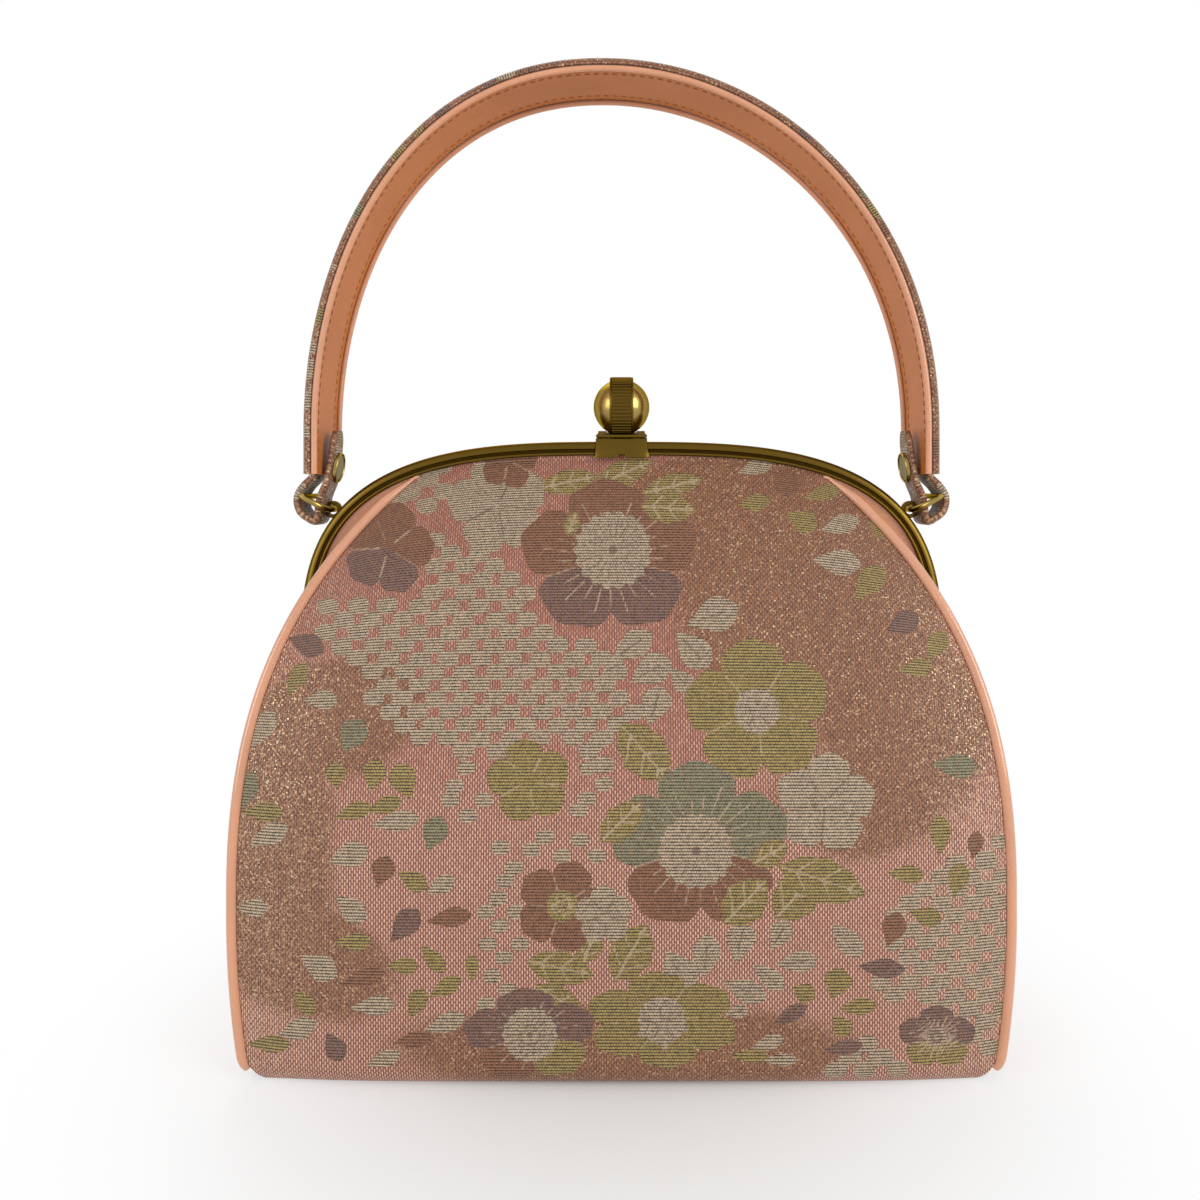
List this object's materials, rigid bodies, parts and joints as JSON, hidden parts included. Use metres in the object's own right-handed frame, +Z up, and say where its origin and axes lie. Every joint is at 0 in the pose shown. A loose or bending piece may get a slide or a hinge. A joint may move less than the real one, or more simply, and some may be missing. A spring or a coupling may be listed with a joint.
{
  "type": "kimono handbag",
  "caption": "Frame handbag with brocade panels, vinyl gussets and piping, a brass mouth frame with a flip ball clasp, and a stiff lined strap handle on rings.",
  "frame": {"origin": "middle of the base, on the surface that the bag stands on", "axes": "+Z up, front of the bag towards -Y, width along X"},
  "size_m": [0.2418, 0.092, 0.3256],
  "materials": {
    "brocade": "woven brocade in salmon, cream, olive, sage and mauve with metallic thread",
    "vinyl": "glossy peach vinyl",
    "board": "stiff paper board",
    "brass": "antique gold plate, satin",
    "rivet_nickel": "dull nickel"
  },
  "bodies": {
    "bag": {"rear_panel": "brocade", "base_panel": "brocade", "front_board": "board", "rear_board": "board", "base_board": "board", "left_gusset": "vinyl", "right_gusset": "vinyl", "front_panel": "brocade", "front_piping_left": "vinyl", "front_piping_right": "vinyl", "front_band_left": "vinyl", "front_band_right": "vinyl", "rear_band_left": "vinyl", "rear_band_right": "vinyl", "rear_piping_left": "vinyl", "rear_piping_right": "vinyl", "rear_frame": "brass", "hinge_rivet_left": "brass", "hinge_rivet_right": "brass", "clasp_bracket": "brass", "clasp_pin": "brass", "ring_lug_left": "brass", "ring_lug_right": "brass"},
    "front_half": {"front_frame": "brass", "front_catch": "brass"},
    "clasp": {"clasp_saddle": "brass", "knob_ball_left": "brass", "knob_ball_right": "brass", "knob_wheel": "brass"},
    "handle": {"handle_strap": "brocade", "handle_lining": "vinyl", "handle_piping_front": "vinyl", "handle_piping_rear": "vinyl", "tab_left": "brocade", "tab_right": "brocade", "tab_rivet_left": "rivet_nickel", "tab_rivet_right": "rivet_nickel", "ring_left": "brass", "ring_right": "brass"}
  },
  "joints": [
    {"name": "mouth_open", "type": "hinge", "parent": "bag", "child": "front_half", "pos_m": [0, 0, 0.125], "axis": [1, 0, 0], "range_deg": [0, 35], "deforming": ["front_panel", "front_piping_left", "front_piping_right", "front_band_left", "front_band_right"]},
    {"name": "clasp_flip", "type": "hinge", "parent": "bag", "child": "clasp", "pos_m": [0, 0.0087, 0.1997], "axis": [-1, 0, 0], "range_deg": [0, 60]},
    {"name": "handle_tilt", "type": "hinge", "parent": "bag", "child": "handle", "pos_m": [0, 0.00345, 0.17366], "axis": [1, 0, 0], "range_deg": [-20, 20]}
  ]
}
